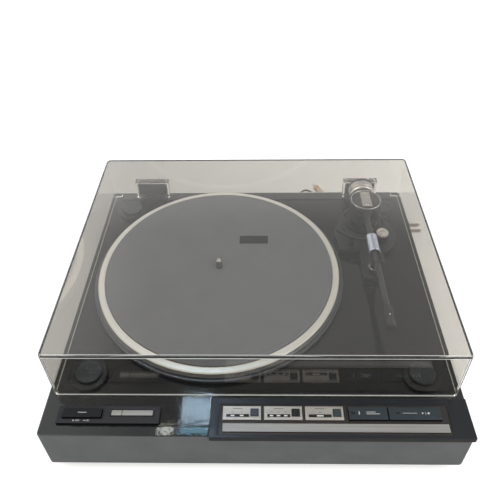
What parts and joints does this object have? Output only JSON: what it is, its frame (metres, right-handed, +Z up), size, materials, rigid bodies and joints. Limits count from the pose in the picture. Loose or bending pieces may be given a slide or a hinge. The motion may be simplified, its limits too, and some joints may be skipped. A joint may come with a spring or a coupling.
{
  "type": "direct drive turntable",
  "caption": "Black full-automatic direct drive turntable with a silver-rimmed platter, straight tonearm, front controls and a clear hinged dust cover.",
  "frame": {"origin": "centre of the object's footprint at table level, measured without its leads and what is on them", "axes": "+X towards the object's right, +Y from the front controls towards the rear, +Z up"},
  "size_m": [0.459, 0.4728, 0.1367],
  "materials": {
    "gloss_black": "gloss black moulding",
    "hardboard": "raw dark hardboard",
    "rubber": "matte",
    "mat_rubber": "matte grey-black, moulded",
    "satin_black": "satin",
    "panel_black": "satin, faintly blue",
    "key_slate": "satin slate",
    "plug_plastic": "satin",
    "cream": "satin cream sleeve",
    "silver": "fine brushed",
    "platter_metal": "cast, rim polished",
    "bright_steel": "bright turned",
    "chrome": "polished",
    "arm_black": "satin black paint",
    "hinge_black": "satin black paint",
    "motor": "varnished laminations and windings",
    "board": "green solder mask",
    "clear_plastic": "clear, faintly smoked, polished"
  },
  "bodies": {
    "plinth": {"cabinet": "gloss_black", "bottom_cover": "hardboard", "foot_front_left": "rubber", "foot_front_right": "rubber", "foot_rear_left": "rubber", "foot_rear_right": "rubber", "foot_cap_front_left": "satin_black", "foot_cap_front_right": "satin_black", "foot_cap_rear_left": "satin_black", "foot_cap_rear_right": "satin_black", "power_panel": "panel_black", "control_panel": "panel_black", "name_strip": "silver", "speed_plate": "silver", "size_plate": "silver", "repeat_plate": "silver", "control_board": "board", "motor_stator": "motor", "main_board": "board", "transformer": "motor", "arm_base": "satin_black", "arm_pillar": "satin_black", "arm_rest": "satin_black", "hinge_block_left": "satin_black", "hinge_block_right": "satin_black", "hinge_pin_left": "bright_steel", "hinge_pin_right": "bright_steel", "power_gland": "rubber", "power_cord": "rubber", "power_cord_coil": "rubber", "power_plug": "plug_plastic", "audio_gland": "rubber", "audio_cord": "rubber", "audio_cord_coil": "rubber", "audio_splitter": "rubber", "audio_tail_left": "rubber", "audio_tail_right": "rubber", "phono_plug_left": "cream", "phono_plug_right": "cream"},
    "turning_platter": {"platter": "platter_metal", "platter_mat": "mat_rubber", "spindle": "bright_steel", "motor_rotor": "bright_steel"},
    "arm_housing": {"pivot_housing": "satin_black"},
    "arm": {"arm_tube": "arm_black", "damping_sleeve": "silver"},
    "weight": {"counterweight": "silver"},
    "collar": {"locking_collar": "arm_black"},
    "knob": {"anti_skate_knob": "silver"},
    "latch": {"rest_latch": "chrome"},
    "lift": {"lift_bar": "arm_black"},
    "lid": {"dust_cover": "clear_plastic", "hinge_leaf_left": "hinge_black", "hinge_leaf_right": "hinge_black"},
    "power_key": {"power_button": "key_slate"},
    "speed_key": {"speed_button": "key_slate"},
    "size_key": {"size_button": "key_slate"},
    "repeat_key": {"repeat_button": "key_slate"},
    "lift_key": {"lift_button": "key_slate"},
    "start_key": {"start_button": "key_slate"}
  },
  "joints": [
    {"name": "platter_spin", "type": "hinge", "parent": "plinth", "child": "turning_platter", "pos_m": [-0.0442, 0.02465, 0.078], "axis": [0, 0, 1], "continuous": true},
    {"name": "arm_yaw", "type": "hinge", "parent": "plinth", "child": "arm_housing", "pos_m": [0.1434, 0.11085, 0.103], "axis": [0, 0, -1], "range_deg": [0, 52]},
    {"name": "arm_tilt", "type": "hinge", "parent": "arm_housing", "child": "arm", "pos_m": [0.1434, 0.11085, 0.103], "axis": [-1, 0, 0], "range_deg": [0, 6]},
    {"name": "counterweight_turn", "type": "hinge", "parent": "arm", "child": "weight", "pos_m": [0.1434, 0.1426, 0.103], "axis": [0, 1, 0], "continuous": true},
    {"name": "collar_turn", "type": "hinge", "parent": "arm", "child": "collar", "pos_m": [0.1434, -0.06825, 0.103], "axis": [0, 1, 0], "range_deg": [0, 60]},
    {"name": "anti_skate_turn", "type": "hinge", "parent": "plinth", "child": "knob", "pos_m": [0.1623, 0.07575, 0.085], "axis": [0, 0, 1], "range_deg": [0, 270]},
    {"name": "latch_turn", "type": "hinge", "parent": "plinth", "child": "latch", "pos_m": [0.14945, 0.02185, 0.1071], "axis": [0, 0, -1], "range_deg": [0, 90]},
    {"name": "lift_slide", "type": "slide", "parent": "plinth", "child": "lift", "axis": [0, 0, 1], "range_m": [0, 0.0045]},
    {"name": "lid_hinge", "type": "hinge", "parent": "plinth", "child": "lid", "pos_m": [0, 0.17825, 0.076], "axis": [-1, 0, 0], "range_deg": [0, 60]},
    {"name": "power_press", "type": "slide", "parent": "plinth", "child": "power_key", "axis": [0, 0, -1], "range_m": [0, 0.002], "stiffness_N_per_m": 400, "springref_m": -0.0005},
    {"name": "speed_press", "type": "slide", "parent": "plinth", "child": "speed_key", "axis": [0, 0, -1], "range_m": [0, 0.0015], "stiffness_N_per_m": 400, "springref_m": -0.0005},
    {"name": "size_press", "type": "slide", "parent": "plinth", "child": "size_key", "axis": [0, 0, -1], "range_m": [0, 0.0015], "stiffness_N_per_m": 400, "springref_m": -0.0005},
    {"name": "repeat_press", "type": "slide", "parent": "plinth", "child": "repeat_key", "axis": [0, 0, -1], "range_m": [0, 0.0015], "stiffness_N_per_m": 400, "springref_m": -0.0005},
    {"name": "lift_press", "type": "slide", "parent": "plinth", "child": "lift_key", "axis": [0, 0, -1], "range_m": [0, 0.0015], "stiffness_N_per_m": 400, "springref_m": -0.0005},
    {"name": "start_press", "type": "slide", "parent": "plinth", "child": "start_key", "axis": [0, 0, -1], "range_m": [0, 0.0015], "stiffness_N_per_m": 400, "springref_m": -0.0005}
  ]
}
